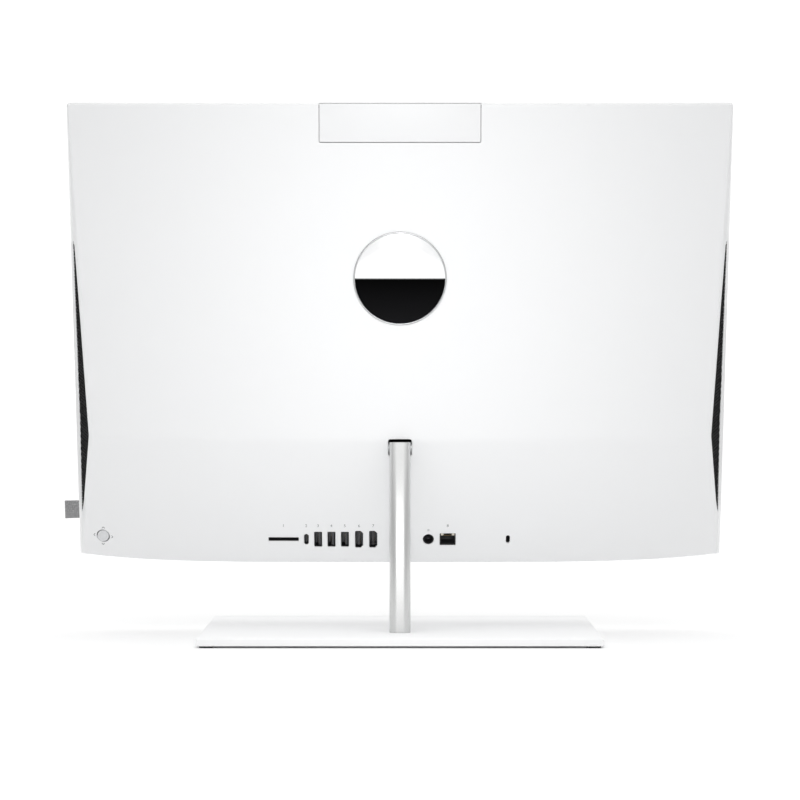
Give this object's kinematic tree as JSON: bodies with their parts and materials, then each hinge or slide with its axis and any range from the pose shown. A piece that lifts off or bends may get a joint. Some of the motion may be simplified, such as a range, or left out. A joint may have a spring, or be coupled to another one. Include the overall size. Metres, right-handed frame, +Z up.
{
  "type": "all in one pc",
  "caption": "Desktop computer with the screen, sockets and electronics in one tilting slab on a flat plate and slim post, with a pop-up camera.",
  "frame": {"origin": "middle of the base plate's footprint at desk level, on the underside of the centre foot", "axes": "+Z up, +X to the right of someone facing the screen, the screen faces -Y and the sockets face +Y; screen leaning back 14 degrees at rest"},
  "size_m": [0.5537, 0.2046, 0.4373],
  "materials": {
    "white_shell": "fine satin",
    "base_paint": "satin powder coat",
    "foot_rubber": "matte",
    "neck_metal": "satin brushed",
    "zinc_screws": "zinc plated",
    "hinge_steel": "turned",
    "stamped_steel": "zinc coated sheet",
    "screen_glass": "polished, dark border",
    "screen_panel": "polarised film",
    "backlight": "white diffuser",
    "dark_plastic": "fine texture",
    "grille_cloth": "woven melange",
    "tag_weave": "tight woven ribbon",
    "vent_mesh": "black perforated sheet",
    "badge_mirror": "mirror polish",
    "lens_glass": "coated",
    "carriage_metal": "satin",
    "rail_plastic": "satin",
    "joystick_metal": "satin",
    "circuit_board": "solder mask",
    "post_brass": "turned",
    "chip_package": "moulded epoxy",
    "copper": "bare copper",
    "cell_steel": "nickel plated",
    "socket_steel": "nickel plated",
    "light_pipe": "clear polish"
  },
  "bodies": {
    "stand": {"stand_base": "base_paint", "base_feet": "foot_rubber", "neck_column": "neck_metal", "neck_screws": "zinc_screws", "hinge_pin": "hinge_steel", "hinge_washers": "hinge_steel", "hinge_nut": "hinge_steel"},
    "display": {"hinge_bracket": "stamped_steel", "bracket_screws": "zinc_screws", "front_frame": "white_shell", "front_glass": "screen_glass", "lcd_panel": "screen_panel", "backlight_unit": "backlight", "main_chassis": "stamped_steel", "speaker_grille": "dark_plastic", "grille_fabric": "grille_cloth", "side_fabric_tag": "tag_weave", "rear_cover": "white_shell", "side_vent_right": "vent_mesh", "side_vent_left": "vent_mesh", "round_badge": "badge_mirror", "camera_rails": "rail_plastic", "camera_latch": "dark_plastic", "joystick_base": "dark_plastic", "motherboard": "circuit_board", "board_standoffs": "post_brass", "board_screws": "zinc_screws", "processor": "chip_package", "cold_plate": "copper", "heat_pipe": "copper", "fin_stack": "carriage_metal", "fan_housing": "dark_plastic", "memory_modules": "circuit_board", "solid_state_drive": "chip_package", "wireless_card": "circuit_board", "coin_cell": "cell_steel", "hard_drive": "carriage_metal", "drive_bracket": "stamped_steel", "speaker_right": "dark_plastic", "speaker_left": "dark_plastic", "card_reader": "dark_plastic", "usb_c_socket": "socket_steel", "usb_a_sockets": "socket_steel", "video_sockets": "socket_steel", "power_inlet": "dark_plastic", "network_socket": "dark_plastic", "lock_plate": "stamped_steel", "power_light": "light_pipe", "power_switch": "dark_plastic"},
    "camera": {"camera_rear_cap": "white_shell", "camera_housing": "dark_plastic", "camera_lens": "lens_glass", "camera_board": "circuit_board", "camera_carriage": "carriage_metal"},
    "joystick_ring": {"joystick_yoke": "joystick_metal"},
    "joystick_lever": {"joystick_stem": "joystick_metal"},
    "joystick_knob": {"joystick_cap": "rail_plastic"},
    "fan": {"fan_rotor": "dark_plastic"},
    "power_key": {"power_button": "rail_plastic"}
  },
  "joints": [
    {"name": "screen_tilt", "type": "hinge", "parent": "stand", "child": "display", "pos_m": [0, 0.0009, 0.1556], "axis": [1, 0, 0], "range_deg": [-6, 19]},
    {"name": "camera_rise", "type": "slide", "parent": "display", "child": "camera", "axis": [0, 0.2419, 0.9703], "range_m": [0, 0.027]},
    {"name": "joystick_up_down", "type": "hinge", "parent": "display", "child": "joystick_ring", "pos_m": [0.2493, -0.04351, 0.08288], "axis": [1, 0, 0], "range_deg": [-3, 3], "stiffness_Nm_per_rad": 0.05},
    {"name": "joystick_left_right", "type": "hinge", "parent": "joystick_ring", "child": "joystick_lever", "pos_m": [0.2493, -0.04351, 0.08288], "axis": [0, 0.2419, 0.9703], "range_deg": [-3, 3], "stiffness_Nm_per_rad": 0.05},
    {"name": "joystick_press", "type": "slide", "parent": "joystick_lever", "child": "joystick_knob", "axis": [0, -0.9703, 0.2419], "range_m": [0, 0.0005], "stiffness_N_per_m": 1500},
    {"name": "power_press", "type": "slide", "parent": "display", "child": "power_key", "axis": [0, 0.2419, 0.9703], "range_m": [0, 0.0008], "stiffness_N_per_m": 1500},
    {"name": "fan_spin", "type": "hinge", "parent": "display", "child": "fan", "pos_m": [-0.18995, -0.01245, 0.17645], "axis": [0, 0.9703, -0.2419], "continuous": true}
  ]
}
